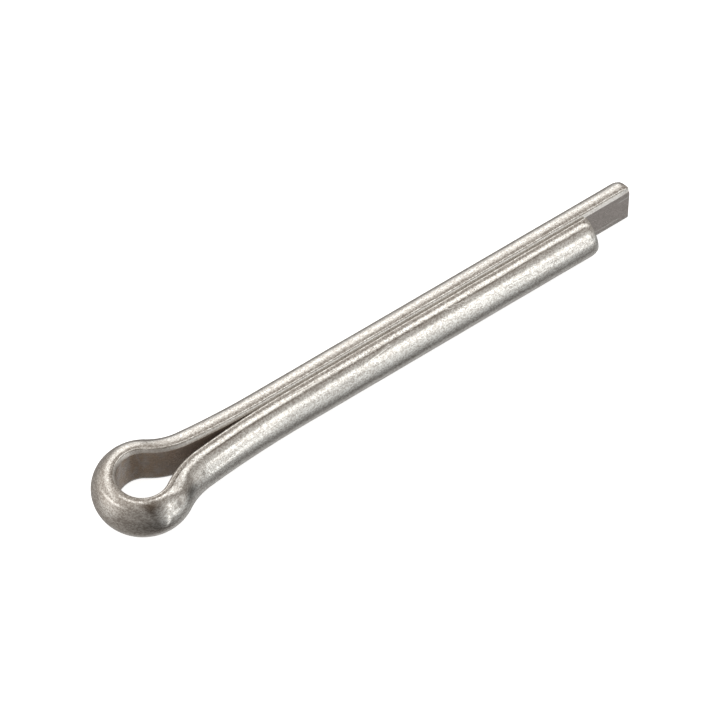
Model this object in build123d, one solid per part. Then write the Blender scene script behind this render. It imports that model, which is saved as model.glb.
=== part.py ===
from build123d import *
import os
from math import acos, cos, degrees, radians, sin, sqrt

# Split cotter pin, one length of half-round wire bent double.
# Frame: origin at the eye's centre, +X along the closed shank to the tips, +Z along the eye's hole.
# The long leg lies on the +Y side of the shank's axis and the short leg on the -Y side.
# Every bend is measured to the wire's flat face, which is the inside of the eye.

# Half-round wire: two legs laid together make a round shank
shank_radius = 1.8
leg_gap = 0.04
corner_radius = 0.31

# Eye: a bend this tight spreads the flat face and draws the crown down
eye_hole_radius = 1.78
eye_spread = 0.08
eye_draw_down = 0.08

# Legs: each swings off the eye round its neck, then closes gently on the shank's axis
long_neck_radius = 5.44
long_closing_radius = 58.0
long_closing_angle = 5.87
short_neck_radius = 6.48
short_closing_radius = 74.0
short_closing_angle = 5.87
short_leg_reach = 35.94
long_leg_extension = 3.84

# Sheared ends: the blade rolls the crown over, and crushes one corner of the long leg
roll_over_length = 0.45
roll_over_depth = 0.11
crush_length = 0.7
crush_on_flat = 0.3
crush_on_crown = 0.2

long_leg_reach = short_leg_reach + long_leg_extension
flat_offset = leg_gap / 2
leg_height = shank_radius - flat_offset
leg_half_width = sqrt(shank_radius**2 - flat_offset**2)


def half_round(half_width, height):
    """D-shaped section: local x runs out from the flat face to the crown, local y across the flat."""
    flat = Line((0, half_width), (0, -half_width))
    crown = ThreePointArc((0, -half_width), (height, 0), (0, half_width))
    section = make_face(flat + crown)
    return fillet(section.vertices(), corner_radius)


def leg_section():
    """Section of the legs, whose round is centred on the axis of the closed shank."""
    return half_round(leg_half_width, leg_height)


def eye_section():
    """Section round the eye, wider across the flat and lower at the crown than the legs."""
    return half_round(leg_half_width + eye_spread, leg_height - eye_draw_down)


def station(point, heading):
    """Plane across the wire where its flat line passes a point, at a heading in degrees from +X."""
    along = Vector(cos(radians(heading)), sin(radians(heading)), 0)
    outward = Vector(-along.Y, along.X, 0)
    return Plane(origin=point, x_dir=outward, z_dir=along)


def limb(neck_radius, closing_radius, closing_angle, reach):
    """Half of the eye with the neck and leg that follow it, on the +Y side of the shank's axis."""
    closing = radians(closing_angle)
    neck_rise = neck_radius * cos(closing) + closing_radius * (1 - cos(closing))
    lean = acos((flat_offset + neck_rise) / (eye_hole_radius + neck_radius))

    # The flat line turns about the eye's centre, the neck's and the closing bend's, and ends straight
    to_neck = Vector(sin(lean), cos(lean), 0)
    to_closing = Vector(sin(closing), cos(closing), 0)
    eye_start = Vector(-eye_hole_radius, 0, 0)
    eye_end = to_neck * eye_hole_radius
    neck_centre = to_neck * (eye_hole_radius + neck_radius)
    neck_end = neck_centre - to_closing * neck_radius
    closing_centre = neck_end + to_closing * closing_radius
    leg_start = closing_centre - Vector(0, closing_radius, 0)
    across_eye = station(eye_end, -degrees(lean))
    across_neck = station(neck_end, -closing_angle)

    eye = revolve(station(eye_start, 90) * eye_section(), -Axis.Z, 90 + degrees(lean))
    neck = sweep(
        [across_eye * eye_section(), across_neck * leg_section()],
        path=TangentArc(eye_end, neck_end, tangent=across_eye.z_dir),
        multisection=True,
    )
    closing_axis = Axis(closing_centre, (0, 0, 1))
    closing_bend = revolve(across_neck * leg_section(), closing_axis, closing_angle)
    leg = extrude(station(leg_start, 0) * leg_section(), reach - leg_start.X)
    return eye + neck + closing_bend + (leg & rolled_bar(leg_start.X, reach))


def rolled_bar(start, reach):
    """Round bar of the shank's size whose end edge is rolled over, as the shear leaves it."""
    roll_start = (reach - roll_over_length, shank_radius)
    roll_end = (reach, shank_radius - roll_over_depth)
    outline = Polyline(roll_end, (reach, 0), (start, 0), (start, shank_radius), roll_start)
    roll_over = TangentArc(roll_start, roll_end, tangent=(1, 0))
    return revolve(make_face(outline + roll_over), Axis.X)


def crush_plane():
    """Facet crushed into the long leg, across the corner between its flat and crown at the tip."""
    corner_height = leg_half_width - corner_radius
    along_flat = Vector(long_leg_reach - crush_length, flat_offset, corner_height)
    down_flat = Vector(long_leg_reach, flat_offset, corner_height - crush_on_flat)
    round_crown = Vector(long_leg_reach, flat_offset + crush_on_crown, leg_half_width)
    outward = (down_flat - along_flat).cross(round_crown - along_flat)
    return Plane(origin=along_flat, z_dir=outward)


long_limb = limb(long_neck_radius, long_closing_radius, long_closing_angle, long_leg_reach)
short_limb = limb(short_neck_radius, short_closing_radius, short_closing_angle, short_leg_reach)
long_limb = split(long_limb, bisect_by=crush_plane(), keep=Keep.BOTTOM)
cotter_pin = long_limb + mirror(short_limb, about=Plane.XZ)

os.makedirs("parts", exist_ok=True)
export_step(cotter_pin, "parts/cotter_pin.step")
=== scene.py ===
"""Cotter pin of tumbled stainless wire, dressed and lit as a plain studio product shot.

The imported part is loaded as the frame. One finely lofted wire stands for its node, with the same bends,
section and sheared ends, and carries the steel's drawn grain, tumbled marks and bending scars.
"""

import logging
import math
from dataclasses import dataclass
from enum import Enum
from typing import Any, Sequence, Union

import bpy
import numpy as np
from mathutils import Matrix, Vector, noise

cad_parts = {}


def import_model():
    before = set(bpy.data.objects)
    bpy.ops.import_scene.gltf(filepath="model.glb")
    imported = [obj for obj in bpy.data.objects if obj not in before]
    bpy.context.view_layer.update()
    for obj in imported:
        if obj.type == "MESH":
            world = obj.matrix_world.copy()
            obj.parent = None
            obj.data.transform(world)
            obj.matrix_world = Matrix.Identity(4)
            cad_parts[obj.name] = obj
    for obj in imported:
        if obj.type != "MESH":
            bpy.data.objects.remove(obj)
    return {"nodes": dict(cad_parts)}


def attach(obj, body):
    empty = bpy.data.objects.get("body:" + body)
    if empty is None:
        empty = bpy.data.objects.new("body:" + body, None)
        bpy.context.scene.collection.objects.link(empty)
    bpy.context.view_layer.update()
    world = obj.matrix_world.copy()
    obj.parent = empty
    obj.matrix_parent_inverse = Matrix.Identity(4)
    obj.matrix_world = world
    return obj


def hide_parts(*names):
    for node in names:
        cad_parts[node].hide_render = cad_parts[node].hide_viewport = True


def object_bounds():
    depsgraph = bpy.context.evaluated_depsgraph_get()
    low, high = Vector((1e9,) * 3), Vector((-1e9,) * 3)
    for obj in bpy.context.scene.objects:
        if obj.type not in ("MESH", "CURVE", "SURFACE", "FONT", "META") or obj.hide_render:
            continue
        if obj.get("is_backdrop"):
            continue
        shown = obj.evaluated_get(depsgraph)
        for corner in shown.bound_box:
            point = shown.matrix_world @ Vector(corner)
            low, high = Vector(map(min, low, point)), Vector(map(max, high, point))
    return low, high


LOG = logging.getLogger("cotter_pin")
MM = 0.001
NODE = "cotter_pin"
BODY = "root"

TINY = 1e-9
MIDDLE = 0.5

Value = Union["Shade", float, int]
Span = tuple[float, float]
Points = np.ndarray


class Shade:
    """A shader value: wraps an output socket, and writes shader maths as Python expressions."""

    def __init__(self, tree: "Tree", socket: bpy.types.NodeSocket) -> None:
        """Keep the socket and the tree that it belongs to."""
        self.tree = tree
        self.socket = socket

    def _math(self, operation: str, *values: Value, clamp: bool = False) -> "Shade":
        """Add one Math node.

        Args:
            operation: the Math node's operation.
            values: its inputs, in order.
            clamp: whether the result is held between 0 and 1.

        Returns:
            The node's result.
        """
        settings = {"operation": operation, "use_clamp": clamp}
        return self.tree.node("ShaderNodeMath", settings, dict(enumerate(values)))[0]

    def __add__(self, other: Value) -> "Shade":
        """self + other."""
        return self._math("ADD", self, other)

    def __radd__(self, other: Value) -> "Shade":
        """other + self."""
        return self._math("ADD", other, self)

    def __sub__(self, other: Value) -> "Shade":
        """self - other."""
        return self._math("SUBTRACT", self, other)

    def __rsub__(self, other: Value) -> "Shade":
        """other - self."""
        return self._math("SUBTRACT", other, self)

    def __mul__(self, other: Value) -> "Shade":
        """self * other."""
        return self._math("MULTIPLY", self, other)

    def __rmul__(self, other: Value) -> "Shade":
        """other * self."""
        return self._math("MULTIPLY", other, self)

    def __truediv__(self, other: Value) -> "Shade":
        """self / other."""
        return self._math("DIVIDE", self, other)

    def __abs__(self) -> "Shade":
        """Size of self without its sign."""
        return self._math("ABSOLUTE", self)

    def clamped(self) -> "Shade":
        """self held between 0 and 1."""
        return self._math("ADD", self, 0.0, clamp=True)

    def ramp(self, start: float, end: float) -> "Shade":
        """Smooth step.

        Args:
            start: the value of self that gives 0.
            end: the value of self that gives 1, which may be below start.

        Returns:
            0 before start, 1 past end and a smooth rise between them.
        """
        settings = {"interpolation_type": "SMOOTHSTEP"}
        sockets = {"Value": self, "From Min": start, "From Max": end, "To Min": 0.0, "To Max": 1.0}
        return self.tree.node("ShaderNodeMapRange", settings, sockets)["Result"]


class Outputs:
    """The outputs of one node, read by name or by place as Shade values."""

    def __init__(self, tree: "Tree", node: bpy.types.Node) -> None:
        """Keep the node and its tree."""
        self.tree = tree
        self.raw = node

    def __getitem__(self, key: Union[str, int]) -> Shade:
        """The output with this name or place."""
        return Shade(self.tree, self.raw.outputs[key])


class Tree:
    """A node tree that is written node by node from Python."""

    def __init__(self, owner: Union[bpy.types.Material, bpy.types.World]) -> None:
        """Empty the tree of a material or world, and start it afresh."""
        owner.use_nodes = True
        self.nodes = owner.node_tree.nodes
        self.links = owner.node_tree.links
        self.nodes.clear()

    def node(self, kind: str, settings: dict[str, Any], sockets: dict[Union[str, int], Any]) -> Outputs:
        """Add any node.

        Args:
            kind: the node's type.
            settings: its properties, which are set first.
            sockets: values or links for its inputs, by name or place.

        Returns:
            The node's outputs.
        """
        made = self.nodes.new(kind)
        for name, value in settings.items():
            setattr(made, name, value)
        for key, value in sockets.items():
            if isinstance(value, Shade):
                self.links.new(value.socket, made.inputs[key])
            else:
                made.inputs[key].default_value = value
        return Outputs(self, made)

    def noise(self, place: Shade, scale: float, detail: float, roughness: float) -> Shade:
        """Fractal noise.

        Args:
            place: the point that it is read at.
            scale: cells for each unit of place.
            detail: octaves.
            roughness: weight of the finer octaves.

        Returns:
            A value about 0.5, mostly between 0.3 and 0.7.
        """
        sockets = {"Vector": place, "Scale": scale, "Detail": detail, "Roughness": roughness}
        return self.node("ShaderNodeTexNoise", {"noise_dimensions": "3D"}, sockets)[0]

    def cells(self, place: Shade) -> Shade:
        """Uneven cells, each with its own even value between 0 and 1.

        Args:
            place: the point that they are read at, a cell to each unit.

        Returns:
            The value of the cell that place lies in.
        """
        sockets = {"Vector": place, "Scale": 1.0}
        colour = self.node("ShaderNodeTexVoronoi", {"feature": "F1"}, sockets)["Color"]
        return self.split(colour)[0]

    def stretched(self, place: Shade, along: float, across: float) -> Shade:
        """Place in the wire with its own scale along the wire and across it."""
        sockets = {0: place, 1: (along, across, across)}
        return self.node("ShaderNodeVectorMath", {"operation": "MULTIPLY"}, sockets)[0]

    def split(self, place: Shade) -> tuple[Shade, Shade, Shade]:
        """The three parts of a vector."""
        parts = self.node("ShaderNodeSeparateXYZ", {}, {0: place})
        return parts[0], parts[1], parts[2]

    def dot(self, place: Shade, axis: Sequence[float]) -> Shade:
        """Length of a vector along a fixed axis."""
        return self.node("ShaderNodeVectorMath", {"operation": "DOT_PRODUCT"}, {0: place, 1: axis})["Value"]

    def blend(self, amount: Value, first: Any, second: Any) -> Shade:
        """Colour between first at amount 0 and second at amount 1."""
        sockets = {"Factor": amount, 6: first, 7: second}
        return self.node("ShaderNodeMix", {"data_type": "RGBA", "clamp_factor": True}, sockets)[2]


class Side(Enum):
    """Side of the shank's axis that a leg lies on."""

    LONG = 1
    SHORT = -1


@dataclass(frozen=True)
class Limb:
    """One leg with its bends, measured to the wire's flat face, and its closing angle in radians."""

    side: Side
    neck_radius: float
    closing_radius: float
    closing_angle: float
    reach: float


@dataclass(frozen=True)
class Section:
    """Half-round section: flat face at height 0, crown on top, rolled corners."""

    half_width: float
    height: float
    corner_radius: float
    flat_steps: int = 22
    corner_steps: int = 14
    crown_steps: int = 74

    def ring(self) -> Points:
        """Outline of the section.

        Returns:
            Points (height above the flat, place across it), once round from the flat's lower edge.
        """
        crown_radius = (self.half_width**2 + self.height**2) / (2 * self.height)
        centre = self.height - crown_radius
        reach = crown_radius - self.corner_radius
        corner = math.sqrt(reach**2 - (self.corner_radius - centre) ** 2)
        turn = math.atan2(corner, self.corner_radius - centre)
        flat = [(0.0, y) for y in np.linspace(-corner, corner, self.flat_steps, endpoint=False)]
        upper_turns = self._steps(math.pi, turn, self.corner_steps)
        upper = [self._corner_point(corner, angle) for angle in upper_turns]
        crown = [
            (centre + crown_radius * math.cos(angle), crown_radius * math.sin(angle))
            for angle in self._steps(turn, -turn, self.crown_steps)
        ]
        lower_turns = self._steps(-turn, -math.pi, self.corner_steps)
        lower = [self._corner_point(-corner, angle) for angle in lower_turns]
        return np.array(flat + upper + crown + lower)

    def _corner_point(self, corner: float, angle: float) -> tuple[float, float]:
        """Point of a rolled corner whose centre lies at this place across the flat."""
        radius = self.corner_radius
        return radius + radius * math.cos(angle), corner + radius * math.sin(angle)

    @staticmethod
    def _steps(start: float, end: float, count: int) -> Points:
        """Even steps from start, short of end."""
        return np.linspace(start, end, count, endpoint=False)


@dataclass(frozen=True)
class BentWire:
    """The pin's one piece: half-round wire bent round an eye into a long and a short leg.

    The sizes repeat the part's source, apart from the waviness and the swelling, which it lacks.
    """

    shank_radius: float = 1.8 * MM
    leg_gap: float = 0.04 * MM
    corner_radius: float = 0.31 * MM
    eye_hole_radius: float = 1.78 * MM
    eye_spread: float = 0.08 * MM
    eye_draw_down: float = 0.08 * MM
    long_neck_radius: float = 5.44 * MM
    long_closing_radius: float = 58.0 * MM
    long_closing_angle: float = 5.87
    short_neck_radius: float = 6.48 * MM
    short_closing_radius: float = 74.0 * MM
    short_closing_angle: float = 5.87
    short_leg_reach: float = 35.94 * MM
    long_leg_extension: float = 3.84 * MM
    roll_over_length: float = 0.45 * MM
    roll_over_depth: float = 0.11 * MM
    crush_length: float = 0.7 * MM
    crush_on_flat: float = 0.3 * MM
    crush_on_crown: float = 0.2 * MM
    waviness: float = 0.016 * MM
    waves_along: float = 0.28
    waves_across: float = 1.1
    wave_gain: float = 0.7
    swelling_place: float = -5.75 * MM
    swelling_reach: float = 1.25 * MM
    swelling_height: float = 0.09 * MM
    swelling_foot: float = 0.55 * MM
    swelling_slope: float = 0.7 * MM
    swelling_edge: float = -0.4 * MM
    swelling_fade: float = 1.0 * MM
    station_step: float = 0.17 * MM
    cap_rings: int = 10

    @property
    def long_leg_reach(self) -> float:
        """Eye's centre to the long leg's tip."""
        return self.short_leg_reach + self.long_leg_extension

    @property
    def flat_offset(self) -> float:
        """Shank's axis to each leg's flat face."""
        return self.leg_gap / 2

    def limbs(self) -> tuple[Limb, Limb]:
        """The long leg and the short leg."""
        long_limb = Limb(
            side=Side.LONG,
            neck_radius=self.long_neck_radius,
            closing_radius=self.long_closing_radius,
            closing_angle=math.radians(self.long_closing_angle),
            reach=self.long_leg_reach,
        )
        short_limb = Limb(
            side=Side.SHORT,
            neck_radius=self.short_neck_radius,
            closing_radius=self.short_closing_radius,
            closing_angle=math.radians(self.short_closing_angle),
            reach=self.short_leg_reach,
        )
        return long_limb, short_limb

    def sections(self) -> tuple[Section, Section]:
        """The eye's section, spread and drawn down by its bend, and the legs' section."""
        half_width = math.sqrt(self.shank_radius**2 - self.flat_offset**2)
        height = self.shank_radius - self.flat_offset
        eye = Section(half_width + self.eye_spread, height - self.eye_draw_down, self.corner_radius)
        return eye, Section(half_width, height, self.corner_radius)

    def flat_line(self, limb: Limb) -> tuple[Points, Points, Points]:
        """The line that the flat face follows from the far side of the eye to a tip.

        Args:
            limb: the leg that it ends in, taken on the +Y side.

        Returns:
            Points (x, y), the heading at each, and the share of the eye's section at each.
        """
        closing, neck, swing = limb.closing_angle, limb.neck_radius, limb.closing_radius
        rise = neck * math.cos(closing) + swing * (1 - math.cos(closing)) + self.flat_offset
        lean = math.acos(rise / (self.eye_hole_radius + neck))
        neck_centre = (self.eye_hole_radius + neck) * np.array((math.sin(lean), math.cos(lean)))
        turned = np.array((math.sin(closing), math.cos(closing)))
        closing_centre = neck_centre + (swing - neck) * turned
        crown = self.eye_hole_radius + self.shank_radius

        eye_heading = self._spaced(math.pi / 2, -lean, crown)
        neck_heading = self._spaced(-lean, -closing, neck)[1:]
        closing_heading = self._spaced(-closing, 0.0, swing)[1:]
        eye = self.eye_hole_radius * np.stack((-np.sin(eye_heading), np.cos(eye_heading)), 1)
        neck_line = neck_centre + neck * self._under(neck_heading)
        closing_line = closing_centre + swing * self._under(closing_heading)
        leg_x = np.linspace(closing_centre[0], limb.reach, self._count(limb.reach - closing_centre[0]))[1:]
        leg = np.stack((leg_x, np.full_like(leg_x, self.flat_offset)), 1)

        points = np.concatenate((eye, neck_line, closing_line, leg))
        heading = np.concatenate((eye_heading, neck_heading, closing_heading, np.zeros(len(leg))))
        eye_share = np.concatenate(
            (
                np.ones(len(eye)),
                (-closing - neck_heading) / (lean - closing),
                np.zeros(len(closing_line) + len(leg)),
            )
        )
        return points, heading, eye_share

    def _count(self, length: float) -> int:
        """Stations along a length."""
        return max(3, math.ceil(length / self.station_step) + 1)

    def _spaced(self, start: float, end: float, radius: float) -> Points:
        """Headings from start to end, a station apart on an arc of this radius."""
        return np.linspace(start, end, self._count(abs(end - start) * radius))

    @staticmethod
    def _under(heading: Points) -> Points:
        """From an arc's centre on the left to the line under it, for each heading."""
        return np.stack((np.sin(heading), -np.cos(heading)), 1)

    def half(self, limb: Limb) -> tuple[Points, Points]:
        """Loft of half of the eye and one leg, on its own side of the shank.

        Args:
            limb: the leg that the loft ends in.

        Returns:
            Points by station and place round the section, and each point's place in the unbent wire:
            distance from the far side of the eye, height above the flat and place across it.
        """
        line, heading, eye_share = self.flat_line(limb)
        eye, leg = (section.ring() for section in self.sections())
        share = eye_share[:, None, None]
        rings = share * eye + (1 - share) * leg
        outward = np.stack((-np.sin(heading), np.cos(heading)), 1)
        points = np.empty((len(line), rings.shape[1], 3))
        points[..., :2] = line[:, None] + rings[..., :1] * outward[:, None]
        points[..., 2] = rings[..., 1]
        steps = np.hypot(*np.diff(line + 0.5 * self.shank_radius * outward, axis=0).T)
        along = limb.side.value * np.concatenate(([0.0], np.cumsum(steps)))
        place = np.concatenate((np.broadcast_to(along[:, None, None], rings.shape[:2] + (1,)), rings), 2)
        self._wave(points, place, outward)
        self._roll_over(points, limb.reach)
        if limb.side is Side.LONG:
            self._crush(points)
        points[..., 1] *= limb.side.value
        return points, place

    def _wave(self, points: Points, place: Points, outward: Points) -> None:
        """Let the drawn crown sink in shallow waves and rise in its swelling, over an even flat face.

        Args:
            points: the loft's points, which are moved.
            place: their places in the unbent wire.
            outward: the direction out from the flat at each station.
        """
        waves = np.array((self.waves_along, self.waves_across, self.waves_across))
        stretched = place.reshape(-1, 3) / MM * waves
        swell = np.array([noise.noise(Vector(row)) for row in stretched.tolist()]).reshape(place.shape[:2])
        rise = np.clip(place[..., 1] / self.corner_radius, 0.0, 1.0)
        sunk = np.clip(MIDDLE + self.wave_gain * swell, 0.0, 1.0)
        depth = self.waviness * rise * sunk - self._swelling(place)
        shrink = depth / self.shank_radius
        points[..., 2] *= 1 - shrink
        points[..., :2] -= (place[..., 1] * shrink)[..., None] * outward[:, None]

    def _swelling(self, place: Points) -> Points:
        """Height of the shallow swelling that the bend left on top of the short leg's neck."""
        along, height, across = np.moveaxis(place, -1, 0)
        grip = self._smooth(1 - np.abs(along - self.swelling_place) / self.swelling_reach)
        crown = self._smooth((height - self.swelling_foot) / self.swelling_slope)
        top = self._smooth((across - self.swelling_edge) / self.swelling_fade)
        return self.swelling_height * grip * crown * top

    @staticmethod
    def _smooth(share: Points) -> Points:
        """Smooth step from 0 at share 0 to 1 at share 1."""
        held = np.clip(share, 0.0, 1.0)
        return held * held * (3 - 2 * held)

    def _roll_over(self, points: Points, reach: float) -> None:
        """Pull the crown in where the shear has rolled it over at the tip."""
        length, depth = self.roll_over_length, self.roll_over_depth
        roll_radius = (length**2 + depth**2) / (2 * depth)
        past = np.clip(points[..., 0] - (reach - length), 0.0, length)
        allowed = self.shank_radius - roll_radius + np.sqrt(roll_radius**2 - past**2)
        radius = np.hypot(points[..., 1], points[..., 2])
        straight = points[..., 0] > reach - 2 * length
        scale = np.where(straight & (radius > allowed), allowed / np.maximum(radius, TINY), 1.0)
        points[..., 1] *= scale
        points[..., 2] *= scale

    def _crush(self, points: Points) -> None:
        """Press the facet that the shear left into the corner at the long leg's tip."""
        tip, flat = self.long_leg_reach, self.flat_offset
        top = math.sqrt(self.shank_radius**2 - flat**2)
        corner = top - self.corner_radius
        start = np.array((tip - self.crush_length, flat, corner))
        down = np.array((tip, flat, corner - self.crush_on_flat))
        back = np.array((tip, flat + self.crush_on_crown, top))
        normal = np.cross(down - start, back - start)
        normal /= np.linalg.norm(normal)
        proud = np.maximum((points - start) @ normal, 0.0)
        near = points[..., 0] > tip - 2 * self.crush_length
        points -= (proud * near)[..., None] * normal

    def build(self) -> bpy.types.Object:
        """Loft the whole wire from tip to tip and close its sheared ends.

        Returns:
            The mesh object, with each point's place in the unbent wire as an attribute in millimetres.
        """
        long_limb, short_limb = self.limbs()
        long_points, long_place = self.half(long_limb)
        short_points, short_place = self.half(short_limb)
        points = np.concatenate((short_points[:0:-1], long_points))
        place = np.concatenate((short_place[:0:-1], long_place))
        stations, around = points.shape[:2]
        faces = self._skin(stations, around)
        vertices, places = [points.reshape(-1, 3)], [place.reshape(-1, 3)]
        first = stations * around
        for station, outward in ((0, False), (stations - 1, True)):
            ring, ring_place = points[station], place[station]
            cap, cap_place, cap_faces = self._cap(ring, ring_place, station * around, first, outward)
            vertices.append(cap)
            places.append(cap_place)
            faces += cap_faces
            first += len(cap)
        mesh = bpy.data.meshes.new("bent_wire")
        mesh.from_pydata(np.concatenate(vertices).tolist(), [], faces)
        mesh.validate()
        attribute = mesh.attributes.new("wire_place", "FLOAT_VECTOR", "POINT")
        attribute.data.foreach_set("vector", (np.concatenate(places) / MM).astype(np.float32).ravel())
        mesh.shade_smooth()
        self._sharpen_ends(mesh, stations, around)
        wire = bpy.data.objects.new("bent_wire", mesh)
        bpy.context.scene.collection.objects.link(wire)
        return wire

    @staticmethod
    def _sharpen_ends(mesh: bpy.types.Mesh, stations: int, around: int) -> None:
        """Keep the edge of each sheared end sharp.

        Args:
            mesh: the wire's mesh.
            stations: rings along the wire.
            around: points in each ring.
        """
        ends = np.empty(2 * len(mesh.edges), dtype=np.int32)
        mesh.edges.foreach_get("vertices", ends)
        ring = ends.reshape(-1, 2) // around
        at_end = (ring[:, 0] == ring[:, 1]) & ((ring[:, 0] == 0) | (ring[:, 0] == stations - 1))
        sharp = mesh.attributes.new("sharp_edge", "BOOLEAN", "EDGE")
        sharp.data.foreach_set("value", at_end)

    @staticmethod
    def _skin(stations: int, around: int) -> list[tuple[int, ...]]:
        """Faces between neighbouring rings, wound so that they face outward."""
        here = np.arange(stations - 1)[:, None] * around + np.arange(around)
        turn = np.roll(np.arange(around), -1)
        there = np.arange(stations - 1)[:, None] * around + turn
        quads = np.stack((here, here + around, there + around, there), 2)
        return [tuple(quad) for quad in quads.reshape(-1, 4).tolist()]

    def _cap(
        self, ring: Points, place: Points, base: int, first: int, outward: bool
    ) -> tuple[Points, Points, list[tuple[int, ...]]]:
        """Close a sheared end with rings that shrink to its middle.

        Args:
            ring: points of the end's edge.
            place: their places in the unbent wire.
            base: index of the edge's first point.
            first: index that the cap's first new point gets.
            outward: whether the cap's faces wind against the edge's points.

        Returns:
            The new points, their places in the unbent wire, and the cap's faces.
        """
        around = len(ring)
        middle, middle_place = ring.mean(0), place.mean(0)
        shares = 1 - np.arange(1, self.cap_rings) / self.cap_rings
        points = [middle + share * (ring - middle) for share in shares] + [middle[None]]
        places = [middle_place + share * (place - middle_place) for share in shares] + [middle_place[None]]
        rows = [np.arange(around) + base]
        rows += [np.arange(around) + first + row * around for row in range(self.cap_rings - 1)]
        centre = first + (self.cap_rings - 1) * around
        faces: list[tuple[int, ...]] = []
        for outer, inner in zip(rows, rows[1:]):
            quads = np.stack((outer, np.roll(outer, -1), np.roll(inner, -1), inner), 1)
            faces += [tuple(quad) for quad in quads.tolist()]
        last = rows[-1]
        faces += [(a, b, centre) for a, b in zip(last.tolist(), np.roll(last, -1).tolist())]
        if outward:
            faces = [face[::-1] for face in faces]
        return np.concatenate(points), np.concatenate(places), faces


@dataclass(frozen=True)
class Tone:
    """A steel tone, as the colour that the metal reflects."""

    red: float
    green: float
    blue: float

    @property
    def rgba(self) -> tuple[float, float, float, float]:
        """The tone for a colour socket."""
        return self.red, self.green, self.blue, 1.0


@dataclass(frozen=True)
class Scrape:
    """A bright scrape, by its ends in the unbent wire: along it and across its flat, in millimetres."""

    start: Span
    end: Span
    half_width: float
    strength: float
    on_flat: bool
    wander: float = 0.1


@dataclass(frozen=True)
class Ridge:
    """A fine ridge across the wire, by its place from the former's mark, in millimetres."""

    place: float
    half_width: float
    strength: float


@dataclass(frozen=True)
class Texture:
    """Fractal noise in the unbent wire, by its cells to a millimetre along the wire and across it."""

    along: float
    across: float
    detail: float
    roughness: float
    scale: float = 1.0

    def at(self, tree: Tree, place: Shade) -> Shade:
        """The noise at a place, a value about the middle."""
        stretched = tree.stretched(place, self.along, self.across)
        return tree.noise(stretched, self.scale, self.detail, self.roughness)


@dataclass(frozen=True)
class Marks:
    """How much of each feature and mark there is, all over the wire, and where it is on the section."""

    height: Shade
    across: Shade
    in_eye: Shade
    bend: Shade
    on_flat: Shade
    # Worn edge by the flat, lightened as real burnish and as a painted highlight.
    edge: Shade
    # Painted shade: a band low on the crown, all along the wire, made darker and more speckled.
    shaded_shoulder: Shade
    rim: Shade
    tarnish: Shade
    draw_lines: Shade
    scratches: Shade
    pits: Shade
    former: Shade
    scrapes: Shade
    oxidised: Shade
    # Painted shade on the flat faces between the legs by the eye.
    shaded_between_legs: Shade


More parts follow.
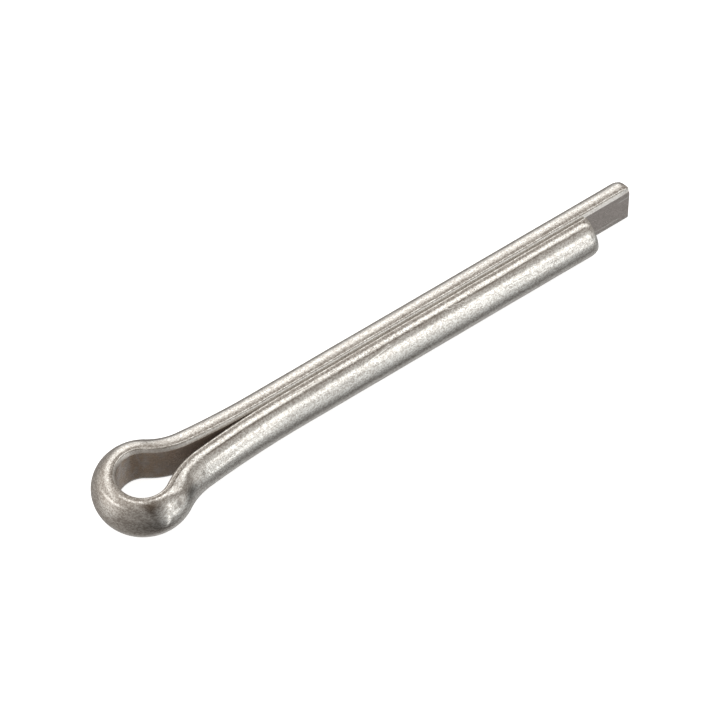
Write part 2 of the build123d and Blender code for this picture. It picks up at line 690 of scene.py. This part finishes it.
@dataclass(frozen=True)
class TumbledSteel:
    """Stainless wire, drawn, bent and tumbled: warm grey, with a fine uneven grain and tool marks, and some
    painted shade and highlights.

    Lengths are in millimetres of the unbent wire. A span gives the values where a mark starts and where
    it is full. A shade is a share of the way from dull to bright, a cover is the most of a mark's colour
    that shows, and a film is what a mark takes from the bare metal.
    """

    bright: Tone = Tone(0.79, 0.77, 0.725)
    # Real burnish and painted highlight: the lighter tone of the worn edge by the flat.
    burnish_and_highlight: Tone = Tone(0.86, 0.835, 0.79)
    dull: Tone = Tone(0.435, 0.40, 0.362)
    oxide: Tone = Tone(0.46, 0.36, 0.27)
    # Painted shade: the dark brown of the flat faces in the wedge between the legs by the eye.
    between_legs_shade: Tone = Tone(0.37, 0.30, 0.245)
    flat_grey: Tone = Tone(0.605, 0.53, 0.50)
    pit: Tone = Tone(0.29, 0.25, 0.215)

    grain: Texture = Texture(12.0, 17.0, 1.0, 0.6)
    tarnish: Texture = Texture(1.1, 2.2, 4.0, 0.62)
    dents: Texture = Texture(1.5, 2.4, 3.0, 0.5)
    draw_lines: Texture = Texture(0.16, 8.0, 3.0, 0.6)
    scratch_wander: Texture = Texture(0.11, 0.9, 2.0, 0.5)
    scratch_patches: Texture = Texture(0.35, 0.8, 1.0, 0.5, 1.3)
    pit_spots: Texture = Texture(8.0, 10.0, 1.0, 0.5)
    pit_patches: Texture = Texture(0.35, 0.8, 2.0, 0.5)
    former_wobble: Texture = Texture(0.6, 1.1, 2.0, 0.5)
    scrape_wander: Texture = Texture(1.3, 1.3, 2.0, 0.5)
    smears: Texture = Texture(1.8, 0.9, 4.0, 0.65)
    speckles_along: float = 11.0
    speckles_across: float = 13.0

    eye_reach: float = 7.6
    eye_fade: float = 2.0
    bend_fade: float = 1.6
    flat_height: Span = (0.010, 0.002)
    flat_margin: Span = (0.19, 0.25)
    edge_spread: float = 0.045
    # Where the worn edge by the flat is lightened, as real burnish and as a painted highlight: low on the
    # crown, on one side of the flat, fading out on the short leg.
    edge_height: Span = (0.16, 0.07)
    edge_along: Span = (-8.0, -4.0)
    edge_across: Span = (0.0, 0.5)
    # The band low on the crown that is painted darker as shade, and more speckled, by its height above the
    # flat.
    shoulder_foot: Span = (0.08, 0.18)
    shoulder_top: Span = (0.56, 0.38)
    # Where the painted shade on the flat faces between the legs fades in and fades out, from the far side
    # of the eye.
    between_legs_start: Span = (6.0, 9.5)
    between_legs_end: Span = (15.0, 12.0)
    short_tip: float = -40.4
    rim_width: Span = (0.22, 0.05)
    smear_span: Span = (0.38, 0.60)
    smear_cover: float = 0.75
    oxide_everywhere: float = 0.2

    # Real dulling of the bent metal and painted shade: how much darker the bent eye is.
    bend_dulling_and_shade: float = 0.15
    # Painted shade: how much darker the low band of the crown is.
    shoulder_painted_shade: float = 0.1
    speckle_shade: float = 1.05
    shoulder_speckle: float = 0.5
    tarnish_shade: float = 0.8
    draw_line_shade: float = 0.4
    rim_shade: float = 0.4
    # Real burnish and painted highlight: how much the worn edge is lightened.
    edge_highlight_cover: float = 0.45
    flat_cover: float = 0.85
    between_legs_shade_cover: float = 0.85
    former_cover: float = 0.5
    pit_cover: float = 0.7
    scratch_cover: float = 0.3

    roughness: float = 0.085
    tarnish_roughness: float = 0.16
    flat_roughness: float = 0.16
    edge_roughness: float = 0.2
    bend_roughness: float = 0.03
    pit_roughness: float = 0.2
    low_height: Span = (0.25, 0.1)
    low_film: float = 0.35
    oxide_film: float = 0.2
    between_legs_film: float = 0.3

    grain_depth: float = 0.0012
    dent_depth: float = 0.0024
    draw_line_depth: float = 0.0018
    scratch_depth: float = 0.004
    pit_depth: float = 0.006
    former_height: float = 0.006
    scrape_height: float = 0.008
    bevel_depth: float = 0.09
    bevel_width: float = 0.25
    bevel_edge: float = 1.645
    bevel_height: Span = (0.40, 0.30)

    scratch_width: Span = (0.0055, 0.0015)
    scratch_patch: Span = (0.53, 0.62)
    pit_size: Span = (0.58, 0.68)
    pit_patch: Span = (0.55, 0.68)
    pit_patch_share: float = 0.7
    worn_end: float = -38.6
    worn_reach: float = 5.0
    worn_height: Span = (1.25, 1.5)
    worn_patch: Span = (0.36, 0.5)
    former_mark: float = -8.38
    former_swing: float = 0.4
    former_core: float = 0.02
    former_across: Span = (-0.4, 0.5)
    former_crown: Span = (0.7, 0.95)
    former_ridges: tuple[Ridge, ...] = (
        Ridge(0.0, 0.10, 1.0),
        Ridge(-0.27, 0.08, 0.7),
        Ridge(0.3, 0.07, 0.45),
    )
    scrape_core: float = 0.3
    scrape_end: float = 0.15
    scrapes: tuple[Scrape, ...] = (
        Scrape((-21.8, 1.42), (-23.7, 1.53), 0.05, 0.8, False),
        Scrape((41.5, -1.06), (43.5, -1.06), 0.06, 1.0, True),
        Scrape((43.4, 0.80), (44.3, 0.84), 0.07, 1.0, True),
        Scrape((9.0, 1.28), (12.5, 1.45), 0.03, 0.5, False, 0.3),
        Scrape((-28.0, 1.62), (-31.0, 1.48), 0.03, 0.4, False, 0.3),
    )

    def material(self) -> bpy.types.Material:
        """Build the steel.

        Returns:
            The material, which reads its marks from each point's place in the unbent wire.
        """
        steel = bpy.data.materials.new("tumbled_steel")
        tree = Tree(steel)
        place = tree.node("ShaderNodeAttribute", {"attribute_name": "wire_place"}, {})["Vector"]
        marks = self._marks(tree, place)
        relief = self._relief(tree, place, marks)
        bump = tree.node("ShaderNodeBump", {}, {"Strength": 1.0, "Distance": MM, "Height": relief})
        sockets = {
            "Base Color": self._colour(tree, place, marks),
            "Metallic": self._metal(marks),
            "Roughness": self._rough(marks),
            "Normal": bump[0],
        }
        shader = tree.node("ShaderNodeBsdfPrincipled", {}, sockets)
        tree.node("ShaderNodeOutputMaterial", {}, {"Surface": shader[0]})
        return steel

    def _marks(self, tree: Tree, place: Shade) -> Marks:
        """Lay out the features and marks of the wire.

        Args:
            tree: the steel's nodes.
            place: the place in the unbent wire.

        Returns:
            How much of each there is.
        """
        along, height, across = tree.split(place)
        from_eye = abs(along)
        in_eye = from_eye.ramp(self.eye_reach + self.eye_fade, self.eye_reach - self.eye_fade)
        margin, margin_end = (self.bevel_edge - inward for inward in self.flat_margin)
        within = (abs(across) - in_eye * self.edge_spread).ramp(margin, margin_end)
        on_flat = height.ramp(*self.flat_height) * within
        edge = (1.0 - on_flat) * height.ramp(*self.edge_height)
        return Marks(
            height=height,
            across=across,
            in_eye=in_eye,
            # The bent eye: rougher, and darker as real dulling and as painted shade.
            bend=from_eye.ramp(self.eye_reach + self.bend_fade, self.eye_reach - self.eye_fade),
            on_flat=on_flat,
            # Real burnish and painted highlight on the worn edge, mostly on the long leg.
            edge=edge * along.ramp(*self.edge_along) * across.ramp(*self.edge_across),
            # Painted shade: the low band of the crown.
            shaded_shoulder=height.ramp(*self.shoulder_foot) * height.ramp(*self.shoulder_top),
            rim=abs(along - self.short_tip).ramp(*self.rim_width),
            tarnish=self.tarnish.at(tree, place),
            draw_lines=self.draw_lines.at(tree, place),
            scratches=self._scratches(tree, place),
            pits=self._pits(tree, place, along, height),
            former=self._former_marks(tree, place, along, height, across),
            scrapes=self._scrapes(tree, place, on_flat),
            oxidised=on_flat * in_eye * self._smears(tree, place),
            # Painted shade on the flat faces in the wedge between the legs.
            shaded_between_legs=on_flat * (from_eye.ramp(*self.between_legs_start) * from_eye.ramp(*self.between_legs_end)),
        )

    def _colour(self, tree: Tree, place: Shade, marks: Marks) -> Shade:
        """Tone of the steel.

        Args:
            tree: the steel's nodes.
            place: the place in the unbent wire.
            marks: how much of each mark there is.

        Returns:
            The colour that the metal reflects.
        """
        speckle = tree.cells(tree.stretched(place, self.speckles_along, self.speckles_across))
        # Painted shade: the low band of the crown along the whole wire is made darker and more speckled.
        speckling = self.speckle_shade + marks.shaded_shoulder * self.shoulder_speckle
        # Real dulling of the bent metal and painted shade: the bent eye is made darker.
        shade = MIDDLE - marks.bend * self.bend_dulling_and_shade - marks.shaded_shoulder * self.shoulder_painted_shade
        shade = shade + (speckle - MIDDLE) * speckling + (marks.tarnish - MIDDLE) * self.tarnish_shade
        shade = shade + (marks.draw_lines - MIDDLE) * self.draw_line_shade + marks.rim * self.rim_shade
        shade = shade.clamped()
        colour = tree.blend(shade, self.dull.rgba, self.bright.rgba)
        # Real burnish and painted highlight: the worn edge by the flat on one side, mostly on the long leg,
        # is lightened.
        colour = tree.blend(marks.edge * self.edge_highlight_cover, colour, self.burnish_and_highlight.rgba)
        flat = tree.blend(shade, self.dull.rgba, self.flat_grey.rgba)
        colour = tree.blend(marks.on_flat * self.flat_cover, colour, flat)
        colour = tree.blend(marks.oxidised, colour, self.oxide.rgba)
        # Painted shade: the flat faces in the wedge between the legs by the eye are darkened brown.
        colour = tree.blend(marks.shaded_between_legs * self.between_legs_shade_cover, colour, self.between_legs_shade.rgba)
        colour = tree.blend(marks.scrapes + marks.former * self.former_cover, colour, self.bright.rgba)
        dark = marks.pits * self.pit_cover + marks.scratches * self.scratch_cover
        return tree.blend(dark, colour, self.pit.rgba)

    def _rough(self, marks: Marks) -> Shade:
        """Roughness: uneven, and higher on the flat, the worn edge, the bend and the pits."""
        rough = self.roughness + (marks.tarnish - MIDDLE) * self.tarnish_roughness
        rough = rough + marks.on_flat * self.flat_roughness + marks.edge * self.edge_roughness
        rough = rough + marks.bend * self.bend_roughness + marks.pits * self.pit_roughness
        return rough.clamped()

    def _metal(self, marks: Marks) -> Shade:
        """Share of bare metal: less near the flat, where oxide lies on it, and under the painted shade
        between the legs.
        """
        metal = 1.0 - marks.height.ramp(*self.low_height) * self.low_film
        return metal - marks.oxidised * self.oxide_film - marks.shaded_between_legs * self.between_legs_film

    def _relief(self, tree: Tree, place: Shade, marks: Marks) -> Shade:
        """Height of the grain and the marks.

        Args:
            tree: the steel's nodes.
            place: the place in the unbent wire.
            marks: how much of each mark there is.

        Returns:
            The height over the mesh, in millimetres.
        """
        return (
            self.grain.at(tree, place) * self.grain_depth
            + self.dents.at(tree, place) * self.dent_depth
            + marks.draw_lines * self.draw_line_depth
            - marks.scratches * self.scratch_depth
            - marks.pits * self.pit_depth
            + marks.former * self.former_height
            + marks.scrapes * self.scrape_height
            + self._bevel(marks)
        )

    def _bevel(self, marks: Marks) -> Shade:
        """Slope worn on the edge of the flat face, as the height that the edge falls from."""
        short_of_edge = self.bevel_edge + marks.in_eye * self.edge_spread - abs(marks.across)
        share = (short_of_edge / self.bevel_width).clamped() * marks.height.ramp(*self.bevel_height)
        return share * share * self.bevel_depth

    def _scratches(self, tree: Tree, place: Shade) -> Shade:
        """Hairline scratches that wander along the wire, here and there."""
        patches = self.scratch_patches.at(tree, place)
        line = abs(self.scratch_wander.at(tree, place) - MIDDLE).ramp(*self.scratch_width)
        return line * patches.ramp(*self.scratch_patch)

    def _pits(self, tree: Tree, place: Shade, along: Shade, height: Shade) -> Shade:
        """Small dark pits, thickest on the crown near the short leg's end.

        Args:
            tree: the steel's nodes.
            place: the place in the unbent wire.
            along: its distance along the wire.
            height: its height above the flat.

        Returns:
            How much of a pit there is.
        """
        patch = self.pit_patches.at(tree, place)
        worn = along.ramp(self.worn_end + self.worn_reach, self.worn_end) * height.ramp(*self.worn_height)
        pitted = patch.ramp(*self.pit_patch) * self.pit_patch_share + worn * patch.ramp(*self.worn_patch)
        return self.pit_spots.at(tree, place).ramp(*self.pit_size) * pitted.clamped()

    def _former_marks(self, tree: Tree, place: Shade, along: Shade, height: Shade, across: Shade) -> Shade:
        """Fine ridges across the crown where the bending former let go of the short leg.

        Args:
            tree: the steel's nodes.
            place: the place in the unbent wire.
            along: its distance along the wire.
            height: its height above the flat.
            across: its place across the flat.

        Returns:
            How much of a ridge there is.
        """
        swing = (self.former_wobble.at(tree, place) - MIDDLE) * self.former_swing
        offset = along - self.former_mark + swing
        found: Value = 0.0
        for ridge in self.former_ridges:
            line = abs(offset - ridge.place).ramp(ridge.half_width, self.former_core)
            found = found + line * ridge.strength
        return found * across.ramp(*self.former_across) * height.ramp(*self.former_crown)

    def _scrapes(self, tree: Tree, place: Shade, on_flat: Shade) -> Shade:
        """The scrapes that show bright, each straight from one place in the unbent wire to another.

        Args:
            tree: the steel's nodes.
            place: the place in the unbent wire.
            on_flat: where the flat face is.

        Returns:
            How much of a scrape there is.
        """
        along, _, across = tree.split(place)
        wander = self.scrape_wander.at(tree, place) - MIDDLE
        found: Value = 0.0
        for scrape in self.scrapes:
            (start, low), (end, high) = scrape.start, scrape.end
            length = math.hypot(end - start, high - low)
            heading = ((end - start) / length, (high - low) / length)
            ahead, up = along - start, across - low + wander * scrape.wander
            run = ahead * heading[0] + up * heading[1]
            aside = abs(up * heading[0] - ahead * heading[1])
            line = aside.ramp(scrape.half_width, scrape.half_width * self.scrape_core)
            begun = run.ramp(-self.scrape_end, self.scrape_end)
            left = run.ramp(length + self.scrape_end, length - self.scrape_end)
            face = on_flat if scrape.on_flat else 1.0 - on_flat
            found = found + line * (begun * left) * face * scrape.strength
        return found

    def _smears(self, tree: Tree, place: Shade) -> Shade:
        """Uneven oxide on the wall of the eye, smeared across the flat."""
        smear = self.smears.at(tree, place).ramp(*self.smear_span)
        return smear * self.smear_cover + self.oxide_everywhere


@dataclass(frozen=True)
class WhitePaper:
    """Plain pale paper, lit mostly from within so that it stays even."""

    tone: Tone = Tone(0.9, 0.9, 0.9)
    roughness: float = 0.9
    glow: Tone = Tone(1.0, 1.0, 1.0)
    glow_strength: float = 0.82

    def material(self) -> bpy.types.Material:
        """Build the paper."""
        paper = bpy.data.materials.new("white_paper")
        tree = Tree(paper)
        sockets = {
            "Base Color": self.tone.rgba,
            "Roughness": self.roughness,
            "Emission Color": self.glow.rgba,
            "Emission Strength": self.glow_strength,
        }
        shader = tree.node("ShaderNodeBsdfPrincipled", {}, sockets)
        tree.node("ShaderNodeOutputMaterial", {}, {"Surface": shader[0]})
        return paper


@dataclass(frozen=True)
class Panel:
    """A soft oval light or a dark flag in the studio, by its angles as seen from the pin.

    Azimuth is 0 towards the camera and grows to the picture's right. Angles are in degrees, and
    softness is the share of the panel's size that its edge fades over. The name labels its node.
    """

    name: str
    azimuth: float
    elevation: float
    half_width: float
    half_height: float
    light: float
    softness: float
    roll: float


@dataclass(frozen=True)
class Studio:
    """The light round the pin: a grey room with soft panels, over pale paper.

    The panels and the room's five greys were not placed by hand. Apart from small changes they are
    rounded from a least-squares fit of such ovals to the pin's brightness in the photograph, and the
    panels' names are only labels.
    """

    camera_azimuth: float
    ground: float = 0.25
    ceiling: float = 0.33
    toward_camera: float = -0.07
    toward_right: float = -0.23
    ceiling_toward_camera: float = -0.25
    darkest: float = 0.02
    upward_fade: Span = (-0.35, 0.35)
    nearer_fade: Span = (0.1, 0.9)
    floor_half: float = 1.5
    paper: WhitePaper = WhitePaper()
    room_tint: tuple[float, float, float] = (1.06, 1.0, 0.95)
    panel_tint: tuple[float, float, float] = (0.975, 1.0, 1.015)
    panels: tuple[Panel, ...] = (
        Panel("right strip", 59.5, 10.0, 5.0, 29.0, 0.85, 0.2, 2.0),
        Panel("right window", 55.0, 7.0, 27.0, 44.0, 0.85, 0.7, 25.0),
        Panel("high window", 105.0, 60.5, 9.0, 23.0, 1.0, 0.4, 8.0),
        Panel("top strip", 98.0, 77.0, 2.0, 28.0, 0.5, 0.5, 7.0),
        Panel("back wash", -136.0, 30.0, 9.0, 40.0, 0.8, 0.75, -55.0),
        Panel("back window", -166.0, 6.0, 11.0, 23.0, 0.65, 0.5, -2.0),
        Panel("left strip", -77.0, 29.0, 4.0, 26.0, 0.85, 0.5, -57.0),
        Panel("left wall", -71.0, 1.0, 18.5, 35.0, 0.25, 0.5, -10.0),
        Panel("front flag", 29.0, 37.0, 15.5, 40.5, -0.45, 0.6, 4.0),
        Panel("floor glow", 110.0, -62.0, 18.0, 33.0, 0.35, 0.7, 9.0),
        Panel("overhead lamp", -75.0, 77.0, 6.0, 19.0, 0.85, 0.5, -43.0),
        Panel("low strip", 47.0, -17.0, 2.5, 27.0, 0.95, 0.35, -3.0),
        Panel("right flag", 62.5, 10.0, 7.0, 14.0, -0.65, 0.5, -2.0),
        Panel("strip flag", 61.5, -1.0, 3.0, 26.0, -0.2, 0.45, -1.0),
        Panel("top flag", 128.5, 60.0, 2.7, 28.0, -0.45, 0.4, 68.0),
    )

    def direction(self, azimuth: float, elevation: float) -> Vector:
        """World direction for a camera-relative azimuth and an elevation, in degrees."""
        turn, rise = math.radians(azimuth), math.radians(elevation)
        heading = math.radians(self.camera_azimuth)
        toward = Vector((-math.sin(heading), -math.cos(heading), 0.0))
        right = Vector((math.cos(heading), -math.sin(heading), 0.0))
        flat = toward * math.cos(turn) + right * math.sin(turn)
        return flat * math.cos(rise) + Vector((0.0, 0.0, math.sin(rise)))

    def light_world(self) -> None:
        """Paint the room and its panels on the world."""
        world = bpy.data.worlds.new("studio")
        bpy.context.scene.world = world
        tree = Tree(world)
        looking = tree.node("ShaderNodeTexCoord", {}, {})["Generated"]
        upward = tree.dot(looking, (0.0, 0.0, 1.0)).ramp(*self.upward_fade)
        nearer = tree.dot(looking, self.direction(0.0, 0.0)).ramp(*self.nearer_fade)
        rightward = tree.dot(looking, self.direction(90.0, 0.0))
        light = self.ground + upward * self.ceiling + nearer * self.toward_camera
        light = light + rightward * self.toward_right + nearer * upward * self.ceiling_toward_camera
        panels: Value = 0.0
        for panel in self.panels:
            panels = panels + panel.light * self._mask(tree, looking, panel)
        room = self._scaled(tree, self.room_tint, light)
        lamps = self._scaled(tree, self.panel_tint, panels)
        both = tree.node("ShaderNodeVectorMath", {"operation": "ADD"}, {0: room, 1: lamps})[0]
        darkest = [self.darkest] * 3
        shown = tree.node("ShaderNodeVectorMath", {"operation": "MAXIMUM"}, {0: both, 1: darkest})
        background = tree.node("ShaderNodeBackground", {}, {"Color": shown[0], "Strength": 1.0})
        tree.node("ShaderNodeOutputWorld", {}, {"Surface": background[0]})

    @staticmethod
    def _scaled(tree: Tree, tint: Sequence[float], light: Shade) -> Shade:
        """A tint at a light's strength."""
        return tree.node("ShaderNodeVectorMath", {"operation": "SCALE"}, {0: tint, "Scale": light})[0]

    def _mask(self, tree: Tree, looking: Shade, panel: Panel) -> Shade:
        """Where a panel is seen: 1 on it, 0 off it, soft at its edge.

        Args:
            tree: the world's nodes.
            looking: the direction looked in.
            panel: the panel, an oval about its own direction.

        Returns:
            The share of the panel's light.
        """
        centre = self.direction(panel.azimuth, panel.elevation)
        level = self.direction(panel.azimuth + 90.0, 0.0)
        rise = self.direction(panel.azimuth, panel.elevation + 90.0)
        roll = math.radians(panel.roll)
        across = level * math.cos(roll) + rise * math.sin(roll)
        along = rise * math.cos(roll) - level * math.sin(roll)
        turn = Matrix((across, along, centre)).transposed().to_euler()
        half_width, half_height = math.radians(panel.half_width), math.radians(panel.half_height)
        size = (math.sin(half_width), math.sin(half_height), 1.0)
        settings = {"vector_type": "TEXTURE", "label": panel.name}
        sockets = {"Vector": looking, "Location": centre, "Rotation": turn, "Scale": size}
        placed = tree.node("ShaderNodeMapping", settings, sockets)[0]
        distance = tree.node("ShaderNodeVectorMath", {"operation": "LENGTH"}, {0: placed})["Value"]
        return distance.ramp(1.0 + panel.softness, 1.0 - panel.softness)

    def lay_floor(self, height: float) -> None:
        """Lay the pale floor under the pin.

        Args:
            height: the pin's lowest point, which rests on the floor.
        """
        half = self.floor_half
        corners = [(x * half, y * half, height) for x, y in ((-1, -1), (1, -1), (1, 1), (-1, 1))]
        mesh = bpy.data.meshes.new("floor")
        mesh.from_pydata(corners, [], [(0, 1, 2, 3)])
        mesh.materials.append(self.paper.material())
        floor = bpy.data.objects.new("floor", mesh)
        bpy.context.scene.collection.objects.link(floor)
        floor.visible_glossy = False
        floor.visible_diffuse = False
        floor.visible_shadow = False
        floor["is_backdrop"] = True


@dataclass(frozen=True)
class ProductCamera:
    """Long lens that looks down on the pin from its short leg's side, eye end first.

    Its numbers come from a fit to the pin's outline in the photograph.
    """

    azimuth: float = 34.832
    elevation: float = 55.887
    roll: float = -0.387
    distance: float = 327.3 * MM
    aim_along_shank: float = 18.0 * MM
    shift_right: float = 0.526 * MM
    shift_up: float = 0.214 * MM
    focal_length: float = 245.2
    sensor: float = 36.0
    near: float = 0.01
    far: float = 10.0

    def place(self) -> None:
        """Set up the camera and make it the scene's."""
        turn, rise, roll = (math.radians(angle) for angle in (self.azimuth, self.elevation, self.roll))
        level = Vector((math.cos(turn), -math.sin(turn), 0.0))
        away = Vector((math.sin(turn), math.cos(turn), 0.0))
        upright = Vector((0.0, 0.0, math.cos(rise))) + away * math.sin(rise)
        back = Vector((0.0, 0.0, math.sin(rise))) - away * math.cos(rise)
        right = level * math.cos(roll) + upright * math.sin(roll)
        up = upright * math.cos(roll) - level * math.sin(roll)
        aim = Vector((self.aim_along_shank, 0.0, 0.0)) - right * self.shift_right - up * self.shift_up
        data = bpy.data.cameras.new("product_camera")
        data.lens = self.focal_length
        data.sensor_width = self.sensor
        data.clip_start = self.near
        data.clip_end = self.far
        camera = bpy.data.objects.new("product_camera", data)
        bpy.context.scene.collection.objects.link(camera)
        rows = (right, up, back)
        camera.matrix_world = self._matrix(rows, aim + back * self.distance)
        bpy.context.scene.camera = camera

    @staticmethod
    def _matrix(axes: Sequence[Vector], origin: Vector) -> Any:
        """Matrix with these columns for its axes, and this origin."""
        columns = Matrix([list(axis) for axis in axes]).transposed().to_4x4()
        columns.translation = origin
        return columns


def main() -> None:
    """Load the frame, dress the pin, and set up its studio and camera."""
    logging.basicConfig(level=logging.INFO, format="%(name)s: %(message)s")
    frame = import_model()
    cad_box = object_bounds()
    wire = BentWire().build()
    wire.data.materials.append(TumbledSteel().material())
    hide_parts(NODE)
    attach(wire, BODY)
    LOG.info("%s: %d faces stand for %s", wire.name, len(wire.data.polygons), sorted(frame["nodes"]))

    camera = ProductCamera()
    studio = Studio(camera_azimuth=camera.azimuth)
    studio.light_world()
    studio.lay_floor(min(corner.z for corner in map(Vector, cad_box)))
    camera.place()
    bpy.context.scene.view_settings.view_transform = "Standard"


if __name__ == "__main__":
    main()
